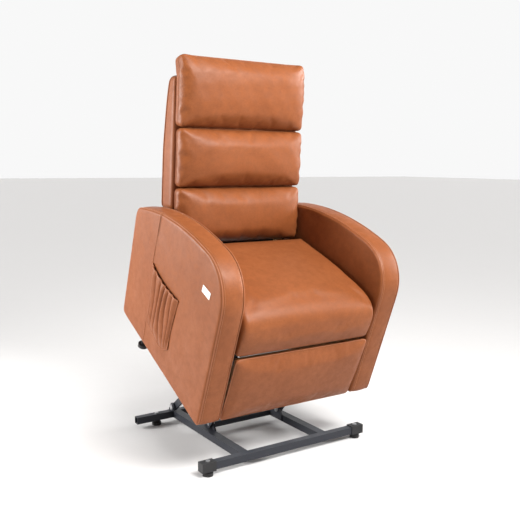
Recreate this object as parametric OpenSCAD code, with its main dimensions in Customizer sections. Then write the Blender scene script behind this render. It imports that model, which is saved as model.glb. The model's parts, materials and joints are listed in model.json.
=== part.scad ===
// Power lift recliner chair, shown with the lift fully raised.
// Millimetres. +Z is up, the sitter faces -Y, +X is the sitter's left. The origin is on the floor,
// on the centre line, below the middle of the raised chair's depth. The pieces are drawn from the
// front face of the base frame, and on_plan() then moves them all forward by plan_y.
// Seat-unit pieces are drawn level in their own frame: v runs back from the foot of the arms,
// u runs up from it. seat_unit() then lifts and tilts them. Back pieces have a leaning frame in that.

/* [Overall sizes] */
// Clear width between the two arms
inner_w = 532; // [440:2:640]
// Thickness of each arm
arm_w = 84; // [72:1:104]
// Depth of the arms along their bottom edge
arm_d = 624; // [580:2:700]
// Height of the arms above their bottom edge
arm_h = 526; // [500:1:620]
// Height of the arms' front foot above the floor, raised
raise_h = 168.4; // [166:0.2:190]
// Forward tilt when raised
tilt = 25.3; // [24:0.1:27]

/* [Arms] */
// Backward lean of the arm's front edge
arm_lean = 4.16; // [0:0.02:8]
// Radius of the arm's front curve
arm_front_r = 140; // [110:1:160]
// Radius of the long top curve
arm_top_r = 1080; // [900:10:1400]
// Thickness of an upholstered arm panel
arm_panel_t = 18; // [12:1:24]
// Thickness of the upholstered band around the arm
arm_band_t = 15; // [10:1:20]
// Width of the side pocket
pocket_w = 206; // [160:1:220]
// Height of the side pocket
pocket_h = 222; // [160:1:240]
// How far the pocket stands off the arm
pocket_t = 12; // [10:0.5:14]

/* [Seat and back] */
// Height of the seat cushion above its board
seat_pad_h = 112; // [90:1:130]
// Lean of the back, from the seat unit's vertical
back_lean = 20.9; // [16:0.1:26]
// Length of the back, from its pivot zone to the top
back_len = 690; // [600:5:760]
// Depth of the back pillows
pillow_t = 56; // [44:1:70]
// Depth of the back shell behind the pillows, at the bottom
shell_d = 85; // [75:1:100]
// Side clearance between the back and each arm
back_gap = 7; // [4:0.5:12]

/* [Base frame] */
// Length of the front floor tube
front_tube_w = 658; // [560:2:720]
// Length of the rear floor tube
rear_tube_w = 644; // [560:2:720]
// Depth of the base frame
base_d = 527; // [520:1:600]
// Side of the square floor tubes
tube = 25; // [20:1:28]
// Width of the two side rails
rail_w = 30; // [25:1:34]
// Distance of each side rail's centre from the centre line
rail_x = 161; // [150:1:175]
// Wall of the steel tubes
wall = 2; // [1.5:0.1:3]
// Height of the floor feet
foot_h = 18; // [14:1:24]
// Radius of the floor feet
foot_r = 17; // [12:0.5:22]

/* [Steel mechanism] */
// Thickness of the lift arms and links
link_t = 8; // [6:0.5:8]
// Thickness of plates and brackets
plate_t = 6; // [4:0.5:6]
// Side gap between neighbouring plates
plate_gap = 2; // [1.5:0.1:3]
// Width of the lift arms and rear links
lift_bar_w = 28; // [24:1:28]
// Width of the footrest links
foot_bar_w = 18; // [16:1:22]
// Radius of the pivot pins
pin_r = 6; // [5:0.5:7]
// Radial running clearance of a pivot
fit = 0.05; // [0.02:0.01:0.09]
// Radius of the lift torque tube and seat cross tubes
cross_r = 11; // [9:0.5:12]

/* [Footrest] */
// Height of the footrest panel
foot_panel_h = 239; // [200:1:240]
// Thickness of the footrest padding
foot_pad_t = 24; // [18:1:26]
// Thickness of the wooden boards
board_t = 15; // [12:1:16]

/* [Hidden] */
$fn = 48;
plan_y = 206.5;
half_in = inner_w / 2;
half_w = half_in + arm_w;
arm_top_c = [arm_front_r + 40, arm_h - arm_top_r];
arm_front_c = [arm_front_r + 30, arm_h - arm_front_r];
rear_slope = 0.108;
pad_side = half_in - 4;

// Steel layers counted outwards from the side rail's inner face
rail_in = rail_x - rail_w / 2;
bracket_x = rail_in - plate_t;
arm_x = rail_in + plate_gap;
side_x = arm_x + link_t + plate_gap;
rear_x = side_x + plate_t + plate_gap;
rear_bracket_x = rear_x + link_t + plate_gap;
// Steel layers counted inwards from the seat's wooden side rail
seat_rail_t = 22;
seat_rail_x = half_in - 2 - seat_rail_t;
hinge_x = seat_rail_x - plate_t;
foot_c_x = hinge_x;
foot_b_x = foot_c_x - plate_gap - plate_t;
foot_a_x = foot_b_x - plate_gap - plate_t;
foot_plate_x = foot_a_x - plate_gap - plate_t;

rail_z = foot_h + tube;
rear_tube_y = base_d - tube;
foot_x_front = front_tube_w / 2 - 27;
foot_x_rear = rear_tube_w / 2 - 82;
sleeve_l = 50;
sleeve_t = 3;

// Lift linkage: base pivots in (y, z), seat pivots in (v, u)
lift_base = [270, 60];
rear_base = [rear_tube_y - 2, 60];
lift_seat = [140, 10];
rear_seat = [238, 10];
torque_at = 0.68;
rear_cross_at = 0.28;
lift_motor = [287, 69];
lift_rod_seat = [176, 79];
lift_cross = [143, 84];
lift_cross_r = cross_r - 2;

// Footrest linkage in (v, u), stowed
foot_p1 = [95, 185];
foot_k = [85, 30];
foot_r1 = [58, 165];
foot_p2 = [150, 210];
foot_q = [108.7, 22.3];
foot_s = foot_p1 + 0.8 * (foot_k - foot_p1);
foot_r2 = [58, 195];
foot_drive = foot_p1 + 0.39 * (foot_k - foot_p1) + [3, 0];
recline_lug = foot_drive + [30, 0];
recline_motor = [458, 120];
recline_x = 62;
rear_cross = [490, 120];
front_cross = [185, 190];
seat_board_u = 265;
seat_rail_u = 215;
seat_rail_v = [92, 505];
board_rail_h = 30;
rod_r = 8;
case_r = 19;

// Back frame: its origin in (v, u), then w runs to the rear and s runs up the back
back_at = [arm_d - 119.5, 300];
back_pivot = [arm_d - 74, 255];
back_half = half_in - back_gap;
post_x = foot_a_x - 24;
post_t = 28;
shell_w0 = pillow_t / 2 + 2;
lumbar_s = [50, 0.348 * back_len];
middle_s = [lumbar_s[1], 0.643 * back_len];
head_s = [middle_s[1], back_len];
shell_top = 0.89 * back_len;
shell_foot = 0.225 * back_len;
shell_wall = 12;
soft_gap = 3;

function seat_pt(p) = [p[0] * cos(tilt) - p[1] * sin(tilt),
                       raise_h + p[0] * sin(tilt) + p[1] * cos(tilt)];
function along(p, q, f) = p + f * (q - p);
function arm_front_v(u, d) = u * tan(arm_lean) + d / cos(arm_lean);
function arm_rear_v(u, d) = arm_d + u * rear_slope - d * sqrt(1 + rear_slope * rear_slope);

// Moves a finished piece so that the origin lies below the middle of the chair
module on_plan() translate([0, -plan_y, 0]) children();
// Places children drawn in the level seat frame
module seat_unit() translate([0, 0, raise_h]) rotate([tilt, 0, 0]) children();
// Places children drawn in the back's leaning frame
module back_unit() seat_unit() translate([0, back_at[0], back_at[1]]) rotate([-back_lean, 0, 0]) children();
// Extrudes a side view across the chair, from x to x + t
module side_view(x, t) translate([x, 0, 0]) rotate([90, 0, 90]) linear_extrude(t) children();
// The same on both sides of the chair
module both_sides(x, t) {
    side_view(x, t) children();
    side_view(-x - t, t) children();
}
module one_side(side, x, t) side_view(side > 0 ? x : -x - t, t) children();
// Round pin along X on both sides
module pins(p, r, x, t) both_sides(x, t) translate(p) circle(r);
module cross_tube(p, r, half) difference() {
    side_view(-half, 2 * half) translate(p) circle(r);
    side_view(-half - 1, 2 * half + 2) translate(p) circle(r - wall);
}
// Flat bar between two points with round eyes a little wider than the bar
eye_share = 0.94;
module bar(p, q, w) {
    translate(p) circle(w / 2);
    translate(q) circle(w / 2);
    translate(p) rotate(atan2(q[1] - p[1], q[0] - p[0]))
        translate([0, -eye_share * w / 2]) square([norm(q - p), eye_share * w]);
}
// Round of radius r at p, drawn as a hole, a boss or a pin
module round_at(p, r) translate(p) circle(r);
module box_tube(size, along_x) difference() {
    translate(-size / 2) cube(size);
    if (along_x) cube([size[0] + 2, size[1] - 2 * wall, size[2] - 2 * wall], center = true);
    else cube([size[0] - 2 * wall, size[1] + 2, size[2] - 2 * wall], center = true);
}
module slab(low, high) translate(low) cube(high - low);

// ---- Base frame ----
module base_front_tube() color("#23262b")
    translate([0, tube / 2, foot_h + tube / 2]) box_tube([front_tube_w - 4, tube, tube], true);
module base_rear_tube() color("#23262b")
    translate([0, rear_tube_y + tube / 2, foot_h + tube / 2]) box_tube([rear_tube_w, tube, tube], true);
module base_rail(side) color("#23262b")
    translate([side * rail_x, (tube + rear_tube_y) / 2, foot_h + tube / 2])
        box_tube([rail_w, rear_tube_y - tube, tube], false);
module base_rail_left() base_rail(1);
module base_rail_right() base_rail(-1);
module base_tube_sleeves() color("#141414") for (side = [-1, 1])
    translate([side * (front_tube_w - sleeve_l) / 2, tube / 2, foot_h + tube / 2]) difference() {
        cube([sleeve_l, tube + 2 * sleeve_t, tube + 2 * sleeve_t], center = true);
        translate([-side * 2, 0, 0]) cube([sleeve_l, tube, tube], center = true);
    }
module foot_places() {
    for (side = [-1, 1]) {
        translate([side * foot_x_front, tube / 2, 0]) children();
        translate([side * foot_x_rear, rear_tube_y + tube / 2, 0]) children();
    }
}
module floor_feet() color("#101010") {
    foot_places() cylinder(r = foot_r, h = foot_h - sleeve_t - 4);
    foot_places() translate([0, 0, foot_h - sleeve_t - 4]) cylinder(r = foot_r * 0.7, h = 4);
    for (side = [-1, 1]) translate([side * foot_x_rear, rear_tube_y + tube / 2, foot_h - sleeve_t])
        cylinder(r = foot_r * 0.7, h = sleeve_t);
}
bolt_h = 3;
module base_bolts() color("#3a3d42") {
    for (side = [-1, 1]) {
        translate([side * foot_x_front, tube / 2, rail_z + sleeve_t]) cylinder(r = 8, h = bolt_h, $fn = 6);
        translate([side * foot_x_rear, rear_tube_y + tube / 2, rail_z]) cylinder(r = 8, h = bolt_h, $fn = 6);
    }
}
module lift_base_brackets() color("#2b2e33") both_sides(bracket_x, plate_t) difference() {
    union() {
        round_at(lift_base, 16);
        polygon([[lift_base[0] - 30, foot_h + 4], [lift_base[0] + 46, foot_h + 4],
                 [lift_base[0] + 46, rail_z], [lift_base[0] + 14, lift_base[1] + 8],
                 [lift_base[0] - 14, lift_base[1] + 8], [lift_base[0] - 30, rail_z]]);
    }
    round_at(lift_base, pin_r);
}
module rear_base_brackets() color("#2b2e33") both_sides(rear_bracket_x, plate_t) difference() {
    union() {
        round_at(rear_base, 16);
        polygon([[rear_tube_y, rail_z], [rear_tube_y + tube, rail_z],
                 [rear_tube_y + tube, rail_z + 5], [rear_base[0] + 8, rear_base[1] + 13],
                 [rear_base[0] - 6, rear_base[1] - 14], [rear_tube_y, rail_z]]);
    }
    round_at(rear_base, pin_r);
    translate([rear_tube_y - 40, 0]) square([40, rail_z]);
}
module base_pivot_pins() color("#8d9096") {
    pins(lift_base, pin_r, bracket_x - 1, plate_t + plate_gap + link_t + 1.5);
    pins(lift_base, pin_r + 4, bracket_x - 5, 4);
    pins(rear_base, pin_r, rear_x - 0.5, link_t + plate_gap + plate_t + 1.5);
    pins(rear_base, pin_r + 4, rear_bracket_x + plate_t + 1, 4);
    side_view(-34, 68) round_at(lift_motor, pin_r);
}
motor_bar_y = lift_motor[0] + 29;
motor_bar_z = foot_h + 4;
module actuator_base_bar() color("#23262b") {
    slab([-rail_in, motor_bar_y, motor_bar_z], [rail_in, motor_bar_y + 20, motor_bar_z + 20]);
    for (side = [-1, 1]) one_side(side, 26, plate_t) difference() {
        union() {
            round_at(lift_motor, 12);
            polygon([[motor_bar_y + 20, motor_bar_z + 20], [motor_bar_y, motor_bar_z + 20],
                     [lift_motor[0] - 6, lift_motor[1] - 10], [lift_motor[0] + 8, lift_motor[1] + 9]]);
        }
        round_at(lift_motor, pin_r);
    }
}

// ---- Lift linkage ----
lift_tip = seat_pt(lift_seat);
rear_tip = seat_pt(rear_seat);
module lift_arm(side) color("#2b2e33") one_side(side, arm_x, link_t) difference() {
    bar(lift_base, lift_tip, lift_bar_w);
    round_at(lift_base, pin_r + fit);
    round_at(lift_tip, pin_r + fit);
}
module lift_arm_left() lift_arm(1);
module lift_arm_right() lift_arm(-1);
module lift_torque_tube() color("#23262b") cross_tube(along(lift_base, lift_tip, torque_at), cross_r, arm_x);
module rear_link(side) color("#2b2e33") one_side(side, rear_x, link_t) difference() {
    bar(rear_base, rear_tip, lift_bar_w);
    round_at(rear_base, pin_r + fit);
    round_at(rear_tip, pin_r + 0.5);
}
module rear_link_left() rear_link(1);
module rear_link_right() rear_link(-1);
module rear_link_tube() color("#23262b") cross_tube(along(rear_base, rear_tip, rear_cross_at), cross_r - 1, rear_x);

// ---- Seat unit: steel ----
module side_plate(side) color("#2b2e33") seat_unit() one_side(side, side_x, plate_t) difference() {
    union() {
        bar(lift_seat, rear_seat, lift_bar_w);
        polygon([[lift_seat[0] - 14, lift_seat[1]], [rear_seat[0] + 14, rear_seat[1]],
                 [rear_seat[0] + 34, 55], [rear_cross[0] - 10, 85], [rear_cross[0] + 24, rear_cross[1] - 20],
                 [rear_cross[0] + 24, rear_cross[1] + 18], [rear_cross[0] - 30, rear_cross[1] + 22],
                 [front_cross[0] + 70, 130], [front_cross[0] + 18, front_cross[1] + 16],
                 [front_cross[0] - 20, front_cross[1] + 16], [lift_seat[0] - 10, 110]]);
    }
    round_at(lift_seat, pin_r);
    round_at(rear_seat, pin_r);
    round_at(lift_cross, lift_cross_r);
    round_at(front_cross, cross_r);
    round_at(rear_cross, cross_r);
}
module side_plate_left() side_plate(1);
module side_plate_right() side_plate(-1);
module seat_cross_tubes() color("#23262b") seat_unit() {
    cross_tube(front_cross, cross_r, seat_rail_x);
    cross_tube(rear_cross, cross_r, seat_rail_x);
    cross_tube(lift_cross, lift_cross_r, side_x + plate_t);
}
module seat_pivot_pins() color("#8d9096") seat_unit() {
    pins(lift_seat, pin_r, arm_x - 1, link_t + plate_gap + plate_t + 1.2);
    pins(lift_seat, pin_r + 4, arm_x - 5, 4);
    pins(rear_seat, pin_r, side_x, plate_t + plate_gap - 0.7);
    pins(foot_p1, pin_r - 1, foot_plate_x, 2 * plate_t + plate_gap + 0.5);
    pins(foot_p1, pin_r + 2, foot_plate_x - 2, 2);
    pins(foot_p2, pin_r - 1, foot_c_x - 1, plate_t + 1);
    pins(back_pivot, pin_r, foot_b_x - 1, 2 * plate_t + plate_gap + 1);
}
module footrest_plates() color("#2b2e33") seat_unit() {
    both_sides(foot_plate_x, plate_t) difference() {
        polygon([[foot_p1[0] - 12, foot_p1[1] - 14], [foot_p1[0] + 14, foot_p1[1] - 14],
                 [foot_p1[0] + 42, seat_board_u - 36], [foot_p1[0] + 42, seat_board_u - board_rail_h],
                 [foot_p1[0] - 3, seat_board_u - board_rail_h], [foot_p1[0] - 14, foot_p1[1] + 10]]);
        round_at(foot_p1, pin_r - 1);
    }
    both_sides(foot_plate_x - 26, 26) translate([seat_rail_v[0], seat_board_u - board_rail_h - plate_t])
        square([25, plate_t]);
}
module back_hinge_plates() color("#2b2e33") seat_unit() both_sides(hinge_x, plate_t) difference() {
    union() {
        round_at(back_pivot, 20);
        polygon([[seat_rail_v[1] - 90, seat_rail_u + 4], [seat_rail_v[1] + 20, seat_rail_u + 8],
                 [back_pivot[0] + 8, back_pivot[1] - 18], [back_pivot[0] + 4, back_pivot[1] + 19],
                 [seat_rail_v[1] - 30, seat_board_u - 4], [seat_rail_v[1] - 90, seat_board_u - 4]]);
    }
    round_at(back_pivot, pin_r);
}
lug_x = 14;
stub_l = 4.3;
module actuator_lugs() color("#2b2e33") seat_unit() {
    for (x = [-lug_x - plate_t, lug_x]) side_view(x, plate_t) difference() {
        bar(lift_cross, lift_rod_seat, 24);
        round_at(lift_cross, lift_cross_r);
    }
    for (x = [-lug_x, lug_x - stub_l]) side_view(x, stub_l) round_at(lift_rod_seat, pin_r);
    for (x = [recline_x - 26 - plate_t, recline_x + 26]) side_view(x, plate_t) difference() {
        bar(recline_motor, rear_cross, 26);
        round_at(recline_motor, pin_r);
        round_at(rear_cross, cross_r);
    }
    side_view(recline_x - 34, 68) round_at(recline_motor, pin_r);
}

// ---- Seat unit: wood, springs and cushion ----
module seat_frame() color("#c39a63") seat_unit() {
    for (side = [-1, 1]) translate([side * (seat_rail_x + seat_rail_t / 2), 0, 0])
        slab([-seat_rail_t / 2, seat_rail_v[0], seat_rail_u],
             [seat_rail_t / 2, seat_rail_v[1], seat_board_u]);
    slab([-seat_rail_x, seat_rail_v[0], seat_board_u - board_rail_h],
         [seat_rail_x, seat_rail_v[0] + 25, seat_board_u]);
    slab([-hinge_x, seat_rail_v[1] - 25, seat_board_u - board_rail_h], [hinge_x, seat_rail_v[1], seat_board_u]);
}
spring_n = 5;
spring_w = 40;
spring_wire = 4;
spring_waves = 7;
spring_len = seat_rail_v[1] - seat_rail_v[0] - 50 - spring_wire / 2;
module spring_path() {
    step = spring_len / (2 * spring_waves);
    for (i = [0 : 2 * spring_waves - 1]) translate([0, i * step]) {
        translate([i % 2 == 0 ? -spring_w / 2 : spring_w / 2 - spring_wire, 0]) square([spring_wire, step]);
        translate([-spring_w / 2, -spring_wire / 2]) square([spring_w, spring_wire]);
    }
    translate([-spring_w / 2, spring_len - spring_wire / 2]) square([spring_w, spring_wire / 2]);
}
module seat_springs() color("#8d9096") seat_unit() for (i = [0 : spring_n - 1])
    translate([(i - (spring_n - 1) / 2) * (inner_w - 110) / spring_n, seat_rail_v[0] + 25 + spring_wire / 2,
               seat_board_u - 12])
        linear_extrude(spring_wire) spring_path();
seat_front_u = foot_panel_h + 6;
seat_back_v = arm_d - 136;
module seat_cushion() color("#b5653a") seat_unit() side_view(-pad_side, 2 * pad_side)
    polygon([[16, seat_front_u], [6, seat_front_u + 55], [10, seat_board_u + 85],
             [34, seat_board_u + 0.97 * seat_pad_h], [80, seat_board_u + 1.14 * seat_pad_h],
             [200, seat_board_u + 1.17 * seat_pad_h], [seat_back_v - 60, seat_board_u + 1.05 * seat_pad_h],
             [seat_back_v, seat_board_u + 0.92 * seat_pad_h], [seat_back_v, seat_board_u + soft_gap],
             [seat_rail_v[0] - 5, seat_board_u + soft_gap], [seat_rail_v[0] - 5, seat_front_u]]);

// ---- Arms ----
// Side outline of an arm, drawn in by d all round: the front edge, two arcs and the rear edge
function arc(c, r, from, to, n) = [for (i = [0 : n]) c + r * [cos(from + (to - from) * i / n),
                                                            sin(from + (to - from) * i / n)]];
arm_corner = 12;
function arm_rear_end(d) = arm_rear_v(arm_h - 126, d) - arm_corner;
function arm_end_angle(d) = acos((arm_rear_end(d) - arm_top_c[0]) / (arm_top_r - d));
function arm_end_u(d) = arm_top_c[1] + (arm_top_r - d) * sin(arm_end_angle(d));
module arm_outline(d) polygon(concat([[arm_front_v(d, d), d]],
    arc(arm_front_c, arm_front_r - d, 180 - arm_lean, 92, 14),
    arc(arm_top_c, arm_top_r - d, 90, arm_end_angle(d), 16),
    [[arm_rear_v(arm_end_u(d) - 1.3 * arm_corner, d), arm_end_u(d) - 1.3 * arm_corner],
     [arm_rear_v(d, d), d]]));
module arm_outer_panel(side) color("#b5653a") seat_unit()
    one_side(side, half_w - arm_panel_t, arm_panel_t) arm_outline(0);
module arm_inner_panel(side) color("#b5653a") seat_unit()
    one_side(side, half_in, arm_panel_t) arm_outline(0);
module arm_band(side) color("#c07043") seat_unit()
    one_side(side, half_in + arm_panel_t, arm_w - 2 * arm_panel_t) difference() {
        arm_outline(0);
        arm_outline(arm_band_t);
    }
module arm_frame(side) color("#c39a63") seat_unit()
    one_side(side, half_in + arm_panel_t + 4, arm_w - 2 * arm_panel_t - 8) arm_outline(arm_band_t + 1);
module arm_outer_panel_left() arm_outer_panel(1);
module arm_outer_panel_right() arm_outer_panel(-1);
module arm_inner_panel_left() arm_inner_panel(1);
module arm_inner_panel_right() arm_inner_panel(-1);
module arm_band_left() arm_band(1);
module arm_band_right() arm_band(-1);
module arm_frame_left() arm_frame(1);
module arm_frame_right() arm_frame(-1);
glide_v = 463;
glide_h = 42;
module arm_glides() color("#141414") seat_unit() for (side = [-1, 1])
    translate([side * (half_w - 22), glide_v, -glide_h]) {
        cylinder(r = 18, h = 12);
        translate([0, 0, 12]) cylinder(r = 8, h = glide_h - 12);
    }
module arm_bolts() color("#8d9096") seat_unit() for (side = [-1, 1], v = [150, 300, 450])
    translate([side * (half_in - 1), v, (seat_rail_u + seat_board_u) / 2]) rotate([0, 90, 0])
        cylinder(r = 5, h = 2, center = true);

// ---- Side pocket and label on the sitter's right arm ----
pocket_v = 262;
pocket_u = 70;
pocket_sheet = 3;
module pocket_outline(d) polygon([[pocket_v + d, pocket_u + pocket_h], [pocket_v + d, pocket_u + 0.2 * pocket_h + d],
    [pocket_v + 0.12 * pocket_w, pocket_u + d], [pocket_v + 0.82 * pocket_w - d, pocket_u + 0.1 * pocket_h + d],
    [pocket_v + pocket_w - d, pocket_u + 0.36 * pocket_h], [pocket_v + pocket_w - d, pocket_u + pocket_h]]);
module side_pocket() color("#ad6038") seat_unit() difference() {
    one_side(-1, half_w, pocket_t) pocket_outline(0);
    one_side(-1, half_w - 1, pocket_t - pocket_sheet + 1) intersection() {
        pocket_outline(6);
        translate([pocket_v, pocket_u + 12]) square([pocket_w, pocket_h]);
    }
    one_side(-1, half_w - 1, pocket_t - pocket_sheet + 1)
        translate([pocket_v + 6, pocket_u + pocket_h - 6]) square([pocket_w - 12, 12]);
}
label_size = [48, 23];
label_at = [102, arm_h - 119];
module side_label() color("#f2f2f0") seat_unit()
    one_side(-1, half_w, 1.2) translate(label_at) square(label_size);

// ---- Lower covers and control box ----
module rear_lower_cover() color("#2a2624") seat_unit()
    slab([-half_in + 3, arm_d - 24, 32], [half_in - 3, arm_d - 12, 122]);
control_box_x = -60;
module control_box() color("#1c1c1e") seat_unit() difference() {
    slab([control_box_x - 45, seat_rail_v[1] - 110, seat_board_u - 48],
         [control_box_x + 45, seat_rail_v[1] - 26, seat_board_u - 14]);
    translate([control_box_x, seat_rail_v[1] - 50, seat_board_u - 49]) cylinder(r = 6, h = 14);
    translate([control_box_x + 24, seat_rail_v[1] - 50, seat_board_u - 49]) cylinder(r = 5, h = 14);
}

// ---- Back ----
module back_frame() color("#c39a63") back_unit() {
    for (side = [-1, 1]) one_side(side, post_x, 24)
        translate([shell_w0 + 4, -60]) square([post_t, shell_top - 34 + 60]);
    for (s = [70, 0.5 * shell_top, shell_top - 90])
        slab([-post_x, shell_w0 + 4, s], [post_x, shell_w0 + 4 + post_t, s + 60]);
}
back_pivot_local = [(back_pivot[0] - back_at[0]) * cos(back_lean) - (back_pivot[1] - back_at[1]) * sin(back_lean),
                    (back_pivot[0] - back_at[0]) * sin(back_lean) + (back_pivot[1] - back_at[1]) * cos(back_lean)];
module back_brackets() color("#2b2e33") back_unit() both_sides(post_x + 24, plate_t + plate_gap) difference() {
    union() {
        translate([shell_w0 + 4, -60]) square([post_t, 260]);
        round_at(back_pivot_local, 18);
    }
    round_at(back_pivot_local, pin_r + fit);
}
shell_bulge = shell_w0 + shell_d;
module shell_profile(d) polygon([[shell_w0, shell_foot - (d > 0 ? 5 : 0)],
    [shell_bulge - d, shell_foot - (d > 0 ? 5 : 0)], [shell_bulge - 8 - d, 0.63 * back_len],
    [shell_bulge - 34 - d, 0.85 * back_len], [shell_bulge - 52 - d, shell_top - d], [shell_w0, shell_top - d]]);
corner_r = 34;
module rounded_top(half, top) {
    square([2 * half, top - corner_r]);
    translate([corner_r, 0]) square([2 * half - 2 * corner_r, top]);
    for (x = [corner_r, 2 * half - corner_r]) translate([x, top - corner_r]) circle(corner_r);
}
module back_shell() color("#ab5f37") back_unit() intersection() {
    difference() {
        side_view(-back_half, 2 * back_half) shell_profile(0);
        side_view(-back_half + shell_wall, 2 * (back_half - shell_wall)) shell_profile(shell_wall);
        slab([-back_half + shell_wall, shell_w0 - 1, 0], [back_half - shell_wall, shell_w0 + 2, shell_top - shell_wall]);
    }
    translate([-back_half, 300, 0]) rotate([90, 0, 0]) linear_extrude(400) rounded_top(back_half, shell_top);
}
lining_w = shell_bulge - 22;
module back_lining() color("#1d1b1a") back_unit() side_view(-back_half + 8, 2 * (back_half - 8))
    polygon([[lining_w, -110], [lining_w + 8, -110], [lining_w + 20, 0], [lining_w + 44, shell_foot - 40],
             [lining_w + 40, shell_foot - 6], [lining_w + 8, shell_foot - 6]]);
module pillow(low, high, crown) color("#bd6b3e") back_unit()
    side_view(-back_half + 2, 2 * (back_half - 2)) polygon([[-pillow_t * 0.28, low + soft_gap / 2],
        [-pillow_t / 2, low + 22], [-pillow_t / 2 - crown * 0.2, (low + high) / 2], [-pillow_t / 2, high - 22],
        [-pillow_t * 0.28, high - soft_gap / 2], [pillow_t / 2, high - soft_gap / 2],
        [pillow_t / 2, low + soft_gap / 2]]);
module lumbar_pillow() pillow(lumbar_s[0], lumbar_s[1], 10);
module middle_pillow() pillow(middle_s[0], middle_s[1], 10);
head_top = 0.9 * back_len;
module head_pillow() color("#bd6b3e") back_unit() side_view(-back_half + 2, 2 * (back_half - 2))
    polygon([[-pillow_t * 0.28, head_s[0] + soft_gap / 2], [-pillow_t / 2, head_s[0] + 22],
        [-pillow_t / 2 - 2, (head_s[0] + head_s[1]) / 2], [-pillow_t * 0.4, head_s[1] - 25],
        [-pillow_t * 0.1, head_s[1]], [pillow_t * 0.55, head_s[1] - 6], [pillow_t * 0.8, head_s[1] - 30],
        [pillow_t * 0.8, head_top], [pillow_t / 2, head_top - 4], [pillow_t / 2, head_s[0] + soft_gap / 2]]);

// ---- Footrest ----
pivot_r = pin_r - 1;
module footrest_drive_arms() color("#2b2e33") seat_unit() {
    both_sides(foot_a_x, plate_t) difference() {
        bar(foot_p1, foot_k, foot_bar_w + 2);
        round_at(foot_p1, pivot_r + fit);
    }
    pins(foot_k, pivot_r, foot_a_x + plate_t - 0.5, plate_t + plate_gap + 1);
    pins(foot_s, pivot_r, foot_plate_x - 0.5, plate_t + plate_gap + 1.5);
}
module footrest_drive_tube() color("#23262b") seat_unit() {
    cross_tube(foot_drive, cross_r - 2, foot_a_x);
    for (x = [recline_x - lug_x - plate_t, recline_x + lug_x]) side_view(x, plate_t) difference() {
        bar(foot_drive, recline_lug, 20);
        round_at(foot_drive, cross_r - 2);
    }
    for (x = [recline_x - lug_x, recline_x + lug_x - stub_l]) side_view(x, stub_l) round_at(recline_lug, pin_r);
}
module footrest_upper_links() color("#2b2e33") seat_unit() {
    both_sides(foot_b_x, plate_t) difference() {
        union() {
            bar(foot_k, foot_r1, foot_bar_w);
            bar(foot_k, foot_q, foot_bar_w);
        }
        round_at(foot_k, pivot_r + fit);
    }
    pins(foot_r1, pivot_r, foot_a_x - 0.5, plate_t + plate_gap + 1.5);
    pins(foot_q, pivot_r, foot_b_x + plate_t - 1, plate_gap + 0.3);
}
module footrest_guide_links() color("#2b2e33") seat_unit() both_sides(foot_c_x, plate_t) difference() {
    bar(foot_p2, foot_q, foot_bar_w - 2);
    round_at(foot_p2, pivot_r + fit);
    round_at(foot_q, pivot_r + 0.5);
}
module footrest_outer_links() color("#2b2e33") seat_unit() both_sides(foot_plate_x, plate_t) difference() {
    bar(foot_s, foot_r2, foot_bar_w - 3);
    round_at(foot_s, pivot_r + fit);
    round_at(foot_r2, pivot_r + 0.5);
}
foot_board_v = foot_pad_t;
module footrest_brackets() color("#2b2e33") seat_unit() {
    both_sides(foot_a_x, plate_t) difference() {
        polygon([[foot_board_v + board_t, foot_r1[1] - 25], [foot_r1[0] + 2, foot_r1[1] - 10],
                 [foot_r1[0] + 10, foot_r1[1]], [foot_r2[0] + 9, foot_r2[1] + 6],
                 [foot_r2[0] - 2, foot_r2[1] + 12], [foot_board_v + board_t, foot_r2[1] + 14]]);
        round_at(foot_r1, pivot_r + fit);
        round_at(foot_r2, pivot_r);
    }
    pins(foot_r2, pivot_r, foot_a_x - plate_gap + 0.7, plate_gap + 0.3);
}
module footrest_board() color("#c39a63") seat_unit()
    slab([-pad_side + 14, foot_board_v, 10], [pad_side - 14, foot_board_v + board_t, foot_panel_h - 16]);
module footrest_pad() color("#b5653a") seat_unit() side_view(-pad_side, 2 * pad_side)
    polygon([[foot_board_v, -3], [6, -3], [0, 6], [-3, foot_panel_h / 2], [0, foot_panel_h - 10],
             [6, foot_panel_h - 3], [foot_board_v, foot_panel_h - 3]]);

// ---- Actuators ----
lift_rod_end = seat_pt(lift_rod_seat);
lift_len = norm(lift_rod_end - lift_motor);
recline_len = norm(recline_lug - recline_motor);
lift_case_len = 196;
recline_case_len = 236;
// Draws children along +Z from p towards q, p and q in the side view
module aim(p, q) translate([0, p[0], p[1]])
    rotate([-atan2(q[0] - p[0], q[1] - p[1]), 0, 0]) children();
module motor_case(reach) difference() {
    union() {
        rotate([0, 90, 0]) cylinder(r = 17, h = 36, center = true);
        translate([-18, -case_r, 0]) cube([36, 2 * case_r, 58]);
        translate([18, 0, 34]) rotate([0, 90, 0]) cylinder(r = 21, h = 68);
        translate([0, 0, 58]) cylinder(r = case_r - 3, h = reach - 58);
    }
    rotate([0, 90, 0]) cylinder(r = pin_r + fit, h = 60, center = true);
    translate([0, 0, 60]) cylinder(r = rod_r + fit, h = reach);
}
module actuator_rod(start, reach) difference() {
    union() {
        translate([0, 0, start]) cylinder(r = rod_r, h = reach - start - 8);
        translate([-9, -11, reach - 14]) cube([18, 22, 14]);
        translate([0, 0, reach]) rotate([0, 90, 0]) cylinder(r = 11, h = 18, center = true);
    }
    translate([0, 0, reach]) rotate([0, 90, 0]) cylinder(r = pin_r + 0.5, h = 30, center = true);
}
module lift_actuator_case() color("#1c1c1e") aim(lift_motor, lift_rod_end) motor_case(lift_case_len);
module lift_actuator_rod() color("#c9ccd1") aim(lift_motor, lift_rod_end) actuator_rod(155, lift_len);
module recline_actuator_case() color("#1c1c1e") seat_unit() translate([recline_x, 0, 0])
    aim(recline_motor, recline_lug) mirror([1, 0, 0]) motor_case(recline_case_len);
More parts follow.
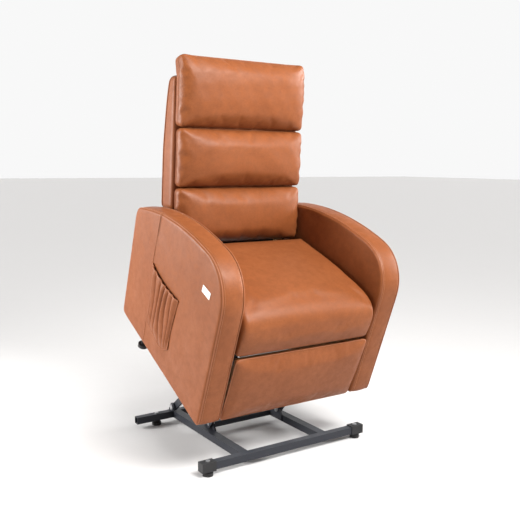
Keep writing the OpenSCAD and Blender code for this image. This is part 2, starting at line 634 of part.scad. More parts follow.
module recline_actuator_rod() color("#c9ccd1") seat_unit() translate([recline_x, 0, 0])
    aim(recline_motor, recline_lug) actuator_rod(110, recline_len);

on_plan() base_front_tube();
on_plan() base_rear_tube();
on_plan() base_rail_left();
on_plan() base_rail_right();
on_plan() base_tube_sleeves();
on_plan() floor_feet();
on_plan() base_bolts();
on_plan() lift_base_brackets();
on_plan() rear_base_brackets();
on_plan() base_pivot_pins();
on_plan() actuator_base_bar();
on_plan() lift_arm_left();
on_plan() lift_arm_right();
on_plan() lift_torque_tube();
on_plan() rear_link_left();
on_plan() rear_link_right();
on_plan() rear_link_tube();
on_plan() side_plate_left();
on_plan() side_plate_right();
on_plan() seat_cross_tubes();
on_plan() seat_pivot_pins();
on_plan() footrest_plates();
on_plan() back_hinge_plates();
on_plan() actuator_lugs();
on_plan() seat_frame();
on_plan() seat_springs();
on_plan() seat_cushion();
on_plan() arm_outer_panel_left();
on_plan() arm_outer_panel_right();
on_plan() arm_inner_panel_left();
on_plan() arm_inner_panel_right();
on_plan() arm_band_left();
on_plan() arm_band_right();
on_plan() arm_frame_left();
on_plan() arm_frame_right();
on_plan() arm_glides();
on_plan() arm_bolts();
on_plan() side_pocket();
on_plan() side_label();
on_plan() rear_lower_cover();
on_plan() control_box();
on_plan() back_frame();
on_plan() back_brackets();
on_plan() back_shell();
on_plan() back_lining();
on_plan() lumbar_pillow();
on_plan() middle_pillow();
on_plan() head_pillow();
on_plan() footrest_drive_arms();
on_plan() footrest_drive_tube();
on_plan() footrest_upper_links();
on_plan() footrest_guide_links();
on_plan() footrest_outer_links();
on_plan() footrest_brackets();
on_plan() footrest_board();
on_plan() footrest_pad();
on_plan() lift_actuator_case();
on_plan() lift_actuator_rod();
on_plan() recline_actuator_case();
on_plan() recline_actuator_rod();
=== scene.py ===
"""Looks of the power lift recliner chair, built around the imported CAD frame.

Lengths are metres. Two leaning frames are used, both taken from the CAD model's own joints and boxes:
the seat frame (x, v, u), level with the seat unit, and the back frame (x, w, s), in line with the back.
"""
import json
import math

import bmesh
import bpy
import numpy as np
from mathutils import Matrix, Vector


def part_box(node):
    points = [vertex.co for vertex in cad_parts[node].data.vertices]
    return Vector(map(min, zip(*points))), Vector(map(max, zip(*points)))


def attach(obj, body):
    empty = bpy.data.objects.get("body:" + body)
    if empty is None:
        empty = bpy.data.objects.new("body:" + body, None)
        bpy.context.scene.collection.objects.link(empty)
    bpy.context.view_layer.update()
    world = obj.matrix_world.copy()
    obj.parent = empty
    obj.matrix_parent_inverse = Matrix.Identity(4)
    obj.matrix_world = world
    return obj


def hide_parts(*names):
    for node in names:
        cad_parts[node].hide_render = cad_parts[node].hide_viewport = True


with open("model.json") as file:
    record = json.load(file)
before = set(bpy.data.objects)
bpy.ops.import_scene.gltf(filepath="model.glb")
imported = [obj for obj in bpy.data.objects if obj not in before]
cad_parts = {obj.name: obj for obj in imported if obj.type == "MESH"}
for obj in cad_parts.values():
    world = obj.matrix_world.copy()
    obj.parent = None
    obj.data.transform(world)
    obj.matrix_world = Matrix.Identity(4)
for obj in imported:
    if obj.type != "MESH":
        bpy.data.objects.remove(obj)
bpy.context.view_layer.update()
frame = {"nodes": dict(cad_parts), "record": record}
SCENE = bpy.context.scene

# ---- The leaning frames ----
JOINTS = {j["name"]: j for j in frame["record"]["behaviour"]["joints"]}
LIFT_TRAVEL = math.radians(JOINTS["lift"]["range_deg"][1])
TILT = math.radians(-JOINTS["seat_tilt"]["range_deg"][0]) - LIFT_TRAVEL
BACK_LEAN = math.radians(20.9)
BACK_FOOT = (0, 0.5045, 0.300)  # where the back frame starts, in the seat frame
LIFT_PIVOT = (0.140, 0.010)  # the seat's tilting pivot, (v, u) in the seat frame
HALF_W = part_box("arm_outer_panel_left")[1].x
HALF_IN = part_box("arm_inner_panel_left")[0].x
RAISE_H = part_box("arm_outer_panel_left")[0].z
PLAN_Y = JOINTS["seat_tilt"]["pos_m"][1] - (LIFT_PIVOT[0] * math.cos(TILT) - LIFT_PIVOT[1] * math.sin(TILT))
SEAT = Matrix.Translation((0, PLAN_Y, RAISE_H)) @ Matrix.Rotation(TILT, 4, "X")
BACK = SEAT @ Matrix.Translation(BACK_FOOT) @ Matrix.Rotation(-BACK_LEAN, 4, "X")


def local_points(node, matrix):
    """A CAD node's vertices in one of the leaning frames."""
    m = np.array(matrix.inverted())
    co = np.array([v.co for v in frame["nodes"][node].data.vertices])
    return co @ m[:3, :3].T + m[:3, 3]


def local_box(node, matrix):
    co = local_points(node, matrix)
    return co.min(0), co.max(0)


# ---- Materials ----
class Nodes:
    """A short way to write a material's node tree."""

    def __init__(self, name):
        self.mat = bpy.data.materials.new(name)
        self.mat.use_nodes = True
        self.tree = self.mat.node_tree
        self.bsdf = self.tree.nodes["Principled BSDF"]
        self.coords = self.add("ShaderNodeTexCoord").outputs["Object"]

    def add(self, kind, inputs=None, **props):
        node = self.tree.nodes.new(kind)
        for key, value in props.items():
            setattr(node, key, value)
        for key, value in (inputs or {}).items():
            self.put(node.inputs[key], value)
        return node

    def put(self, socket, value):
        if isinstance(value, bpy.types.NodeSocket):
            self.tree.links.new(value, socket)
        else:
            socket.default_value = value

    def noise(self, scale, detail=3.0, rough=0.55, stretch=(1, 1, 1), distortion=0.0):
        place = self.add("ShaderNodeMapping", {"Vector": self.coords, "Scale": stretch})
        tex = self.add("ShaderNodeTexNoise", {"Vector": place.outputs[0], "Scale": scale, "Detail": detail,
                                              "Roughness": rough, "Distortion": distortion})
        return tex.outputs[0]

    def cells(self, scale, feature="DISTANCE_TO_EDGE", stretch=(1, 1, 1)):
        place = self.add("ShaderNodeMapping", {"Vector": self.coords, "Scale": stretch})
        return self.add("ShaderNodeTexVoronoi", {"Vector": place.outputs[0], "Scale": scale},
                        feature=feature).outputs["Distance"]

    def remap(self, value, low, high, to_low, to_high):
        return self.add("ShaderNodeMapRange", {"Value": value, "From Min": low, "From Max": high,
                                               "To Min": to_low, "To Max": to_high}).outputs[0]

    def mix(self, share, a, b):
        node = self.add("ShaderNodeMix", data_type="RGBA")
        for key, value in ((0, share), (6, a), (7, b)):
            self.put(node.inputs[key], value)
        return node.outputs[2]

    def bump(self, height, strength, distance, under=None):
        inputs = {"Height": height, "Strength": strength, "Distance": distance}
        if under is not None:
            inputs["Normal"] = under
        return self.add("ShaderNodeBump", inputs).outputs[0]

    def shade(self, **values):
        for key, value in values.items():
            self.put(self.bsdf.inputs[key.replace("_", " ")], value)
        return self.mat


def leather(name, base, deep, light):
    n = Nodes(name)
    cloud = n.remap(n.noise(5.5, 2), 0.35, 0.68, 0, 0.34)
    mottle = n.noise(42, 3, 0.62)
    grain = n.noise(620, 1.0, 0.5)
    colour = n.mix(cloud, base, light)
    colour = n.mix(n.remap(mottle, 0.38, 0.66, 0, 0.20), colour, deep)
    colour = n.mix(n.remap(grain, 0.40, 0.52, 0.30, 0.0), colour, deep)
    edge = n.add("ShaderNodeNewGeometry").outputs["Pointiness"]
    # Painted shade: hollows and creases (low pointiness) are darkened towards the deep colour. Convex edges
    # (high pointiness) are lightened towards the light colour.
    colour = n.mix(n.remap(edge, 0.44, 0.495, 0.75, 0.0), colour, deep)
    colour = n.mix(n.remap(edge, 0.515, 0.58, 0.0, 0.40), colour, light)
    crease = n.bump(n.noise(55, 3, 0.6, distortion=0.8), 0.25, 0.0016)
    normal = n.bump(grain, 0.35, 0.0004, crease)
    return n.shade(Base_Color=colour, Roughness=n.remap(mottle, 0.3, 0.7, 0.38, 0.52), Normal=normal,
                   Specular_IOR_Level=0.22)


def painted_steel(name, base, light):
    n = Nodes(name)
    edge = n.add("ShaderNodeNewGeometry").outputs["Pointiness"]
    colour = n.mix(n.remap(n.noise(30, 5), 0.4, 0.7, 0, 0.5), base, light)
    colour = n.mix(n.remap(edge, 0.52, 0.60, 0.0, 0.6), colour, (0.040, 0.043, 0.052, 1))
    orange_peel = n.bump(n.noise(420, 3), 0.10, 0.0004)
    rough = n.remap(n.noise(25, 5), 0.3, 0.7, 0.30, 0.44)
    return n.shade(Base_Color=colour, Roughness=rough, Normal=orange_peel, Specular_IOR_Level=0.24)


def bare_metal(name, base, rough_low, rough_high, scratch):
    n = Nodes(name)
    lines = n.noise(900, 3, 0.6, stretch=(0.04, 1, 1))
    colour = n.mix(n.remap(n.noise(35, 5), 0.4, 0.7, 0, 0.35), base, tuple(0.7 * c for c in base[:3]) + (1,))
    return n.shade(Base_Color=colour, Metallic=1.0, Roughness=n.remap(lines, 0.3, 0.7, rough_low, rough_high),
                   Normal=n.bump(lines, scratch, 0.0002))


def moulded(name, base, light, rough_low, rough_high, grain_size):
    n = Nodes(name)
    speck = n.noise(grain_size, 4, 0.65)
    colour = n.mix(n.remap(n.noise(22, 4), 0.35, 0.7, 0, 0.6), base, light)
    return n.shade(Base_Color=colour, Roughness=n.remap(speck, 0.3, 0.7, rough_low, rough_high),
                   Normal=n.bump(speck, 0.25, 0.0003), Specular_IOR_Level=0.4)


def timber(name):
    n = Nodes(name)
    rings = n.noise(26, 6, 0.6, stretch=(0.25, 0.25, 3.0), distortion=1.6)
    fine = n.noise(240, 3, 0.6, stretch=(0.12, 1, 1))
    colour = n.mix(n.remap(rings, 0.35, 0.65, 0, 1), (0.50, 0.31, 0.15, 1), (0.66, 0.46, 0.25, 1))
    colour = n.mix(n.remap(fine, 0.4, 0.7, 0, 0.35), colour, (0.33, 0.19, 0.09, 1))
    return n.shade(Base_Color=colour, Roughness=n.remap(fine, 0.3, 0.7, 0.55, 0.72),
                   Normal=n.bump(fine, 0.3, 0.0004))


def nonwoven(name):
    n = Nodes(name)
    dots = n.cells(520, "F1")
    fibre = n.noise(900, 4, 0.7, distortion=2.0)
    colour = n.mix(n.remap(dots, 0.1, 0.5, 0, 1), (0.010, 0.010, 0.011, 1), (0.030, 0.029, 0.028, 1))
    normal = n.bump(dots, 0.4, 0.0006, n.bump(fibre, 0.3, 0.0004))
    return n.shade(Base_Color=colour, Roughness=0.85, Normal=normal, Sheen_Weight=0.15)


def thread(name):
    n = Nodes(name)
    ply = n.noise(1400, 2, 0.5)
    colour = n.mix(n.remap(ply, 0.4, 0.6, 0, 1), (0.30, 0.115, 0.045, 1), (0.52, 0.23, 0.11, 1))
    return n.shade(Base_Color=colour, Roughness=0.5, Normal=n.bump(ply, 0.4, 0.0002))


MATERIALS = {
    "leather": leather("tan_leather", (0.235, 0.070, 0.021, 1), (0.090, 0.022, 0.005, 1),
                       (0.310, 0.102, 0.036, 1)),
    "frame_steel": painted_steel("frame_paint", (0.004, 0.005, 0.009, 1), (0.008, 0.010, 0.016, 1)),
    "mechanism_steel": painted_steel("mechanism_paint", (0.008, 0.009, 0.012, 1), (0.016, 0.017, 0.021, 1)),
    "zinc_steel": bare_metal("zinc_steel", (0.55, 0.56, 0.57, 1), 0.28, 0.45, 0.15),
    "rod_steel": bare_metal("rod_steel", (0.72, 0.73, 0.75, 1), 0.10, 0.20, 0.05),
    "black_plastic": moulded("black_plastic", (0.010, 0.010, 0.011, 1), (0.022, 0.022, 0.024, 1),
                              0.38, 0.55, 800),
    "motor_plastic": moulded("motor_plastic", (0.014, 0.014, 0.015, 1), (0.026, 0.026, 0.028, 1),
                              0.45, 0.62, 500),
    "foot_rubber": moulded("foot_rubber", (0.009, 0.009, 0.009, 1), (0.020, 0.019, 0.019, 1),
                            0.60, 0.80, 600),
    "wood": timber("pine"),
    "lining": nonwoven("black_lining"),
    "label_white": moulded("label_white", (0.80, 0.80, 0.79, 1), (0.88, 0.88, 0.87, 1), 0.35, 0.45, 700),
}
# Painted highlight: the piping and seam cords use a lighter copy of the tan leather, which stands in for the
# highlights along the seams.
HIGHLIT_PIPING = leather("piping_leather_painted_highlight", (0.26, 0.086, 0.033, 1), (0.11, 0.030, 0.010, 1), (0.36, 0.135, 0.062, 1))
THREAD = thread("tan_thread")
for part in frame["record"]["subparts"]:
    data = frame["nodes"][part["node"]].data
    data.materials.clear()
    data.materials.append(MATERIALS[part["material_slot"]])


# ---- Mesh building ----
def make_object(name, verts, faces, matrix, material, smooth=True):
    data = bpy.data.meshes.new(name)
    data.from_pydata([tuple(map(float, v)) for v in verts], [], faces)
    data.transform(matrix)
    data.materials.append(material)
    if smooth:
        data.polygons.foreach_set("use_smooth", [True] * len(data.polygons))
    data.update()
    obj = bpy.data.objects.new(name, data)
    SCENE.collection.objects.link(obj)
    return obj


def settle(obj, body, slot, *nodes):
    """Hangs a finished piece on its body and hides the CAD parts it stands in for."""
    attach(obj, body)
    if nodes:
        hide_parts(*nodes)
    return obj


def outward(obj):
    """Turns every face to point out of the closed mesh."""
    mesh = bmesh.new()
    mesh.from_mesh(obj.data)
    bmesh.ops.recalc_face_normals(mesh, faces=mesh.faces)
    mesh.to_mesh(obj.data)
    mesh.free()
    obj.data.update()
    return obj


def lattice(counts):
    """The surface points of a block of cells, as integer triples, and its faces."""
    nx, ny, nz = counts
    points, index, faces = [], {}, []

    def at(i, j, k):
        if (i, j, k) not in index:
            index[i, j, k] = len(points)
            points.append((i, j, k))
        return index[i, j, k]

    for j in range(ny):
        for k in range(nz):
            for i, flip in ((0, 1), (nx, 0)):
                quad = [at(i, j, k), at(i, j + 1, k), at(i, j + 1, k + 1), at(i, j, k + 1)]
                faces.append(quad[::-1] if flip else quad)
    for i in range(nx):
        for k in range(nz):
            for j, flip in ((0, 0), (ny, 1)):
                quad = [at(i, j, k), at(i + 1, j, k), at(i + 1, j, k + 1), at(i, j, k + 1)]
                faces.append(quad[::-1] if flip else quad)
    for i in range(nx):
        for j in range(ny):
            for k, flip in ((0, 1), (nz, 0)):
                quad = [at(i, j, k), at(i + 1, j, k), at(i + 1, j + 1, k), at(i, j + 1, k)]
                faces.append(quad[::-1] if flip else quad)
    return np.array(points), index, faces


def smooth_path(points, count):
    """Evenly spaced points on a smooth curve through the given ones."""
    p = np.array(points, float)
    ends = np.vstack([2 * p[0] - p[1], p, 2 * p[-1] - p[-2]])
    fine = []
    for a, b, c, d in zip(ends, ends[1:], ends[2:], ends[3:]):
        for t in np.linspace(0, 1, 24, endpoint=False):
            fine.append(0.5 * (2 * b + (c - a) * t + (2 * a - 5 * b + 4 * c - d) * t * t
                               + (3 * b - a - 3 * c + d) * t ** 3))
    fine.append(p[-1])
    fine = np.array(fine)
    run = np.concatenate([[0], np.cumsum(np.linalg.norm(np.diff(fine, axis=0), axis=1))])
    want = np.linspace(0, run[-1], count)
    return np.column_stack([np.interp(want, run, fine[:, i]) for i in range(p.shape[1])]), run[-1]


def ripple(x, y, seed, waves=7, finest=0.08):
    """Smooth waves that look random but are the same each run, between about -1 and 1."""
    rng = np.random.default_rng(seed)
    total = np.zeros_like(x)
    for _ in range(waves):
        angle = rng.uniform(0, math.tau)
        length = rng.uniform(finest, 4 * finest)
        along = x * math.cos(angle) + y * math.sin(angle)
        total += np.sin(math.tau * along / length + rng.uniform(0, math.tau))
    return total / waves ** 0.5


def round_corners(a, c, half_a, half_c, radius):
    """Pulls the corners of a rectangle, centred across and starting at c = 0, into quarter circles."""
    mid_c = c - half_c
    da = np.maximum(np.abs(a) - (half_a - radius), 0)
    dc = np.maximum(np.abs(mid_c) - (half_c - radius), 0)
    size = np.hypot(da, dc)
    keep = np.where(size > 1e-9, np.maximum(da, dc) / np.maximum(size, 1e-9), 1)
    both = (da > 0) & (dc > 0)
    new_a = np.where(both, np.sign(a) * (half_a - radius + da * keep), a)
    new_c = np.where(both, np.sign(mid_c) * (half_c - radius + dc * keep), mid_c)
    return new_a, new_c + half_c


class Cushion:
    """A sewn pad: a block of cells bent along a path in the (y, z) plane of its frame.

    The path is its outer surface; depth runs inwards from it. Its edges are rounded, its face is
    crowned, and the ring of cells at seam_depth is where the cover's panels are sewn together.
    """

    def __init__(self, name, path, width, depth, edge, crown, cell, seam_depth, matrix, pull=0.0, skew=None,
                 base=None, corner=0.0):
        line, length = smooth_path(path, 400)
        self.name, self.matrix = name, matrix
        nx = max(4, round(width / cell))
        nz = max(4, round(length / cell))
        ny = max(3, round(depth / cell))
        self.counts = (nx, ny, nz)
        grid, self.index, self.faces = lattice(self.counts)
        a = grid[:, 0] / nx * width - width / 2
        b = grid[:, 1] / ny * depth
        c = grid[:, 2] / nz * length
        if corner:
            a, c = round_corners(a, c, width / 2, length / 2, corner)
        centre = np.column_stack([a, b - depth / 2, c - length / 2])
        half = np.array([width, depth, length]) / 2
        inner = np.clip(centre, -(half - edge), half - edge)
        away = centre - inner
        size = np.linalg.norm(away, axis=1, keepdims=True)
        rounded = inner + np.where(size > 1e-9, away / np.maximum(size, 1e-9) * edge, 0)
        a, b, c = rounded[:, 0], rounded[:, 1] + depth / 2, rounded[:, 2] + length / 2
        across, along = 2 * a / width, 2 * c / length - 1
        face = 1 - b / depth
        swell = (1 - np.abs(across) ** 3.0) * (1 - np.abs(along) ** 2.6)
        b = b - crown * swell * face
        a = a * (1 - pull * np.abs(along) ** 4 * face)
        at = np.clip(c / length, 0, 1) * (len(line) - 1)
        spot = np.column_stack([np.interp(at, range(len(line)), line[:, i]) for i in range(2)])
        slope = np.gradient(line, axis=0)
        way = np.column_stack([np.interp(at, range(len(line)), slope[:, i]) for i in range(2)])
        way /= np.linalg.norm(way, axis=1, keepdims=True)
        if base is None:
            spot = spot + np.column_stack([way[:, 1], -way[:, 0]]) * b[:, None]
        else:
            marks = np.concatenate([[0], np.cumsum(np.linalg.norm(np.diff(path, axis=0), axis=1))])
            marks *= (len(line) - 1) / marks[-1]
            floor = np.column_stack([np.interp(at, marks, [p[i] for p in base]) for i in range(2)])
            spot = spot + (floor - spot) * (b / depth)[:, None]
        self.verts = np.column_stack([a, spot])
        if skew is not None:
            self.verts = skew(self.verts)
        self.seam = int(round(seam_depth / depth * ny))
        self.across, self.along, self.face = across, along, face

    def build(self, material):
        self.obj = outward(make_object(self.name, self.verts, self.faces, self.matrix, material))
        return self.obj

    def ring(self, j=None):
        """The vertex numbers of the sewn ring, in order round the cushion."""
        nx, _, nz = self.counts
        j = self.seam if j is None else j
        loop = [(i, j, 0) for i in range(nx)] + [(nx, j, k) for k in range(nz)]
        loop += [(i, j, nz) for i in range(nx, 0, -1)] + [(0, j, k) for k in range(nz, 0, -1)]
        return [self.index[t] for t in loop]


def inflate(cushion, pressure, cap, grow, hold, frames=20):
    """Cloth simulation of the cushion's cover, blown up from inside, then applied to the mesh."""
    obj = cushion.obj
    start = np.array([v.co for v in obj.data.vertices])
    pins = obj.vertex_groups.new(name="held")
    for number, weight in enumerate(hold):
        if weight > 0:
            pins.add([number], float(weight), "REPLACE")
    cloth = obj.modifiers.new("cover", "CLOTH")
    settings = cloth.settings
    settings.quality = 6
    settings.mass = 0.25
    settings.tension_stiffness = settings.compression_stiffness = 12
    settings.shear_stiffness = 6
    settings.bending_stiffness = 0.12
    settings.use_pressure = True
    settings.uniform_pressure_force = pressure
    settings.shrink_min = settings.shrink_max = -grow
    settings.vertex_group_mass = "held"
    settings.pin_stiffness = 1.0
    settings.effector_weights.gravity = 0
    cloth.point_cache.frame_start, cloth.point_cache.frame_end = 1, frames
    for number in range(1, frames + 1):
        SCENE.frame_set(number)
    shape = obj.evaluated_get(bpy.context.evaluated_depsgraph_get())
    end = np.array([v.co for v in shape.data.vertices])
    obj.modifiers.remove(cloth)
    obj.vertex_groups.remove(pins)
    SCENE.frame_set(1)
    move = end - start
    size = np.linalg.norm(move, axis=1, keepdims=True)
    end = start + move * np.minimum(1, cap / np.maximum(size, 1e-9))
    obj.data.vertices.foreach_set("co", end.ravel())
    obj.data.update()


def refine(obj):
    extra = obj.modifiers.new("finer", "SUBSURF")
    extra.levels = extra.render_levels = 1


def world_points(obj, numbers):
    return np.array([obj.data.vertices[i].co for i in numbers])


def even_loop(points, step, closed=True):
    """Points spaced evenly by about step on the polyline, first smoothed a little."""
    p = np.array(points)
    if closed:
        p = (np.roll(p, 1, 0) + 2 * p + np.roll(p, -1, 0)) / 4
        p = np.vstack([p, p[:1]])
    run = np.concatenate([[0], np.cumsum(np.linalg.norm(np.diff(p, axis=0), axis=1))])
    count = max(4, int(run[-1] / step))
    want = np.linspace(0, run[-1], count, endpoint=not closed)
    return np.column_stack([np.interp(want, run, p[:, i]) for i in range(3)])


def tube(name, points, radius, body, closed=True, step=0.006):
    """A round cord of leather sewn into a seam."""
    sides = 8
    p = even_loop(points, step, closed)
    n = len(p)
    ahead = np.roll(p, -1, 0) - np.roll(p, 1, 0)
    if not closed:
        ahead[0], ahead[-1] = p[1] - p[0], p[-1] - p[-2]
    ahead /= np.linalg.norm(ahead, axis=1, keepdims=True)
    side = np.zeros_like(p)
    side[0] = np.cross(ahead[0], (0.3, 0.5, 0.8))
    for i in range(n):
        previous = side[i - 1] if i else side[0]
        flatpart = previous - ahead[i] * (previous @ ahead[i])
        side[i] = flatpart / np.linalg.norm(flatpart)
    lift = np.cross(ahead, side)
    verts, faces = [], []
    for i in range(n):
        for s in range(sides):
            angle = math.tau * s / sides
            verts.append(p[i] + radius * (math.cos(angle) * side[i] + math.sin(angle) * lift[i]))
    for i in range(n if closed else n - 1):
        for s in range(sides):
            a, b = i * sides + s, i * sides + (s + 1) % sides
            c, d = ((i + 1) % n) * sides + s, ((i + 1) % n) * sides + (s + 1) % sides
            faces.append((a, c, d, b))
    if not closed:
        faces.append(tuple(range(sides)))
        faces.append(tuple(range((n - 1) * sides, n * sides))[::-1])
    obj = outward(make_object(name, verts, faces, Matrix.Identity(4), HIGHLIT_PIPING))
    return settle(obj, body, "leather")


def stitches(name, points, up, body, closed=True, pitch=0.0062, size=(0.0040, 0.0011, 0.0009)):
    """A row of thread stitches lying on a surface whose outward direction at each point is up."""
    p = even_loop(points, pitch, closed)
    source = np.array(points)
    ups = np.array(up)
    if ups.ndim == 1:
        ups = np.tile(ups, (len(source), 1))
    verts, faces = [], []
    n = len(p)
    for i in range(n if closed else n - 1):
        q = p[(i + 1) % n]
        way = q - p[i]
        if np.linalg.norm(way) < 1e-6:
            continue
        way = way / np.linalg.norm(way)
        near = int(np.argmin(np.linalg.norm(source - p[i], axis=1)))
        top = ups[near] - way * (ups[near] @ way)
        top /= np.linalg.norm(top)
        side = np.cross(way, top)
        mid = (p[i] + q) / 2
        base = len(verts)
        for along, grow in ((-0.5, 0.35), (-0.3, 1.0), (0.3, 1.0), (0.5, 0.35)):
            for x, z in ((-0.5, -0.5), (0.5, -0.5), (0.4, 0.5), (-0.4, 0.5)):
                verts.append(mid + way * along * size[0] + grow * (side * x * size[1] + top * z * size[2]))
        for ring in range(3):
            for c in range(4):
                a = base + ring * 4 + c
                b = base + ring * 4 + (c + 1) % 4
                faces.append((a, b, b + 4, a + 4))
        faces.append((base + 3, base + 2, base + 1, base))
        faces.append((base + 12, base + 13, base + 14, base + 15))
    obj = outward(make_object(name, verts, faces, Matrix.Identity(4), THREAD))
    return settle(obj, body, "leather")


# ---- Back: three pillows, the shell behind them and the dark lining below it ----
PILLOW_CELL = 0.009
PILLOW_SINK = 0.011


def back_pillow(name, node, crown, seed, first=False, top_roll=False):
    low, high = local_box(node, BACK)
    front = low[1] + PILLOW_SINK
    rear = 0.0275
    foot, top = low[2] - (0.012 if first else 0.002), high[2] + 0.002
    path = [(front + 0.004, foot), (front, foot + 0.05), (front, top - 0.05), (front + 0.004, top)]
    depth = rear - front
    skew = None
    if top_roll:
        path = [(front + 0.006, foot), (front + 0.001, foot + 0.06), (front, (low[2] + high[2]) / 2),
                (front + 0.004, high[2] - 0.05), (front + 0.018, high[2])]
        depth += 0.014
        ledge = local_box("back_shell", BACK)[1][2]

        def skew(p):
            share = np.clip((p[:, 2] - ledge + 0.004) / 0.03, 0, 1)
            p[:, 1] = np.minimum(p[:, 1], rear + 0.020 * share * share * (3 - 2 * share))
            return p
    pad = Cushion(name, path, 2 * high[0] - 0.004, depth, 0.016, crown, PILLOW_CELL, 0.026, BACK,
                  pull=0.008, skew=skew)
    wave = ripple(pad.verts[:, 0], pad.verts[:, 2], seed, 9, 0.05) * np.clip(pad.face, 0, 1)
    height = pad.verts[:, 2]
    pucker = np.sin(math.tau * height / 0.037 + 2.2 * np.sin(31 * height + seed)) * np.clip(pad.face, 0, 1)
    pucker *= np.exp(-((1 - np.abs(pad.across)) / 0.11) ** 2) * (1 - np.abs(pad.along) ** 6)
    pad.verts[:, 1] += 0.0008 * wave + 0.0011 * pucker
    pad.build(MATERIALS["leather"])
    seam = set(pad.ring())
    hold = [1.0 if f < 0.30 else (0.55 if i in seam else 0.0) for i, f in enumerate(pad.face)]
    inflate(pad, 4.0, 0.011, 0.009, hold)
    loop = world_points(pad.obj, pad.ring())
    refine(pad.obj)
    settle(pad.obj, "back", "leather", node)
    tube(name + "_seam", loop, 0.0013, "back")
    return pad


back_pillow("pillow_lumbar", "lumbar_pillow", 0.019, 11, first=True)
back_pillow("pillow_middle", "middle_pillow", 0.020, 12)
back_pillow("pillow_head", "head_pillow", 0.016, 13, top_roll=True)


def back_shell():
    low, high = local_box("back_shell", BACK)
    w0, bulge, foot, top = low[1], high[1], low[2], high[2]
    path = [(bulge - 0.052, top), (bulge - 0.036, top - 0.035), (bulge - 0.014, top - 0.14),
            (bulge - 0.002, 0.35), (bulge, foot + 0.08), (bulge - 0.002, foot)]
    inner = [(w0, p[1]) for p in path]
    pad = Cushion("back_shell_cover", path, 2 * high[0], bulge - w0, 0.015, 0.004, 0.012, 0.018, BACK,
                  base=inner, corner=0.034)
    wave = ripple(pad.verts[:, 0], pad.verts[:, 2], 21, 8, 0.09) * np.clip(pad.face, 0, 1)
    pad.verts[:, 1] += 0.0009 * wave
    pad.build(MATERIALS["leather"])
    loop = world_points(pad.obj, pad.ring(1))
    refine(pad.obj)
    settle(pad.obj, "back", "leather", "back_shell")
    tube("back_shell_piping", loop, 0.0024, "back")


back_shell()


def sheet_faces(nx, nz):
    """Faces of a thin sheet: a front grid, the same grid behind it, and its rim."""
    half = (nx + 1) * (nz + 1)
    grid = [(i * (nz + 1) + k, (i + 1) * (nz + 1) + k, (i + 1) * (nz + 1) + k + 1, i * (nz + 1) + k + 1)
            for i in range(nx) for k in range(nz)]
    faces = grid + [tuple(half + p for p in face[::-1]) for face in grid]
    rim = [i * (nz + 1) for i in range(nx + 1)] + [nx * (nz + 1) + k for k in range(1, nz + 1)]
    rim += [i * (nz + 1) + nz for i in range(nx - 1, -1, -1)] + list(range(nz - 1, 0, -1))
    return faces + [(a, b, half + b, half + a) for a, b in zip(rim, rim[1:] + rim[:1])]


def cut(obj, nx, nz):
    """The flat size and area of a gathered or stretched sheet, from its own rows and columns."""
    co = np.array([v.co for v in obj.data.vertices])[:(nx + 1) * (nz + 1)].reshape(nx + 1, nz + 1, 3)
    width = np.linalg.norm(np.diff(co, axis=0), axis=2).sum(0).max()
    length = np.linalg.norm(np.diff(co, axis=1), axis=2).sum(1).max()
    area = sum(f.area for f in obj.data.polygons[:nx * nz])
    return (float(width), float(length)), min(float(area), float(width * length))


CLOTH_T = 0.0016


def dust_cloth(name, body, matrix, path, width, seed, wave, *nodes):
    """Thin black cloth stapled tight along a path in its frame's (y, z) plane."""
    line, _ = smooth_path(path, max(8, round(math.dist(path[0], path[-1]) / 0.009)) + 1)
    nx, nz = round(width / 0.010), len(line) - 1
    xs = np.linspace(-width / 2, width / 2, nx + 1)
    verts = []
    for back in (0, 1):
        for x in xs:
            held = min(1, (width / 2 - abs(x)) / 0.03)
            for k, (y, z) in enumerate(line):
                calm = held * math.sin(math.pi * k / nz) ** 0.5
                dip = wave * calm * ripple(np.array([x]), np.array([z]), seed, 9, 0.06)[0]
                verts.append((x, y + dip - CLOTH_T * back, z))
    cloth = outward(make_object(name, verts, sheet_faces(nx, nz), matrix, MATERIALS["lining"]))
    flat, area = cut(cloth, nx, nz)
    settle(cloth, body, "lining", *nodes)


def back_lining():
    low, high = local_box("back_lining", BACK)
    path = [(high[1] - 0.006, high[2]), (high[1], high[2] - 0.03), (high[1] - 0.022, 0.0),
            (low[1] + 0.010, low[2])]
    dust_cloth("back_lining_cloth", "back", BACK, path, 2 * high[0], 31, 0.0022, "back_lining")


back_lining()


def rear_cover():
    low, high = local_box("rear_lower_cover", SEAT)
    path = [(high[1] - 0.002, low[2]), (high[1], (low[2] + high[2]) / 2), (high[1] - 0.002, high[2])]
    dust_cloth("rear_cover_cloth", "seat_unit", SEAT, path, 2 * high[0], 32, 0.0015, "rear_lower_cover")


rear_cover()


# ---- Seat cushion and footrest pad ----
def seat_cushion():
    low, high = local_box("seat_cushion", SEAT)
    top, front_foot, rear, base = high[2] - 0.013, low[2], high[1], 0.268
    front_foot -= 0.005
    path = [(0.017, front_foot), (0.013, front_foot + 0.055), (0.017, top - 0.040), (0.046, top - 0.010),
            (0.10, top), (0.22, top + 0.001), (0.36, top - 0.008), (rear, top - 0.020)]
    inner = [(0.086, front_foot), (0.086, base - 0.008), (0.090, base), (0.10, base), (0.13, base),
             (0.23, base), (0.36, base), (rear, base)]
    pad = Cushion("seat_pad", path, 2 * high[0] - 0.004, 0.10, 0.013, 0.014, 0.0095, 0.030, SEAT, base=inner)
    wave = ripple(pad.verts[:, 0], pad.verts[:, 1], 41, 10, 0.07) * np.clip(pad.face, 0, 1)
    pad.verts[:, 2] += 0.0003 * wave
    pad.build(MATERIALS["leather"])
    seam = set(pad.ring())
    hold = [1.0 if f < 0.35 else (0.7 if i in seam else 0.0) for i, f in enumerate(pad.face)]
    inflate(pad, 1.6, 0.005, 0.002, hold)
    refine(pad.obj)
    settle(pad.obj, "seat_unit", "leather", "seat_cushion")


seat_cushion()
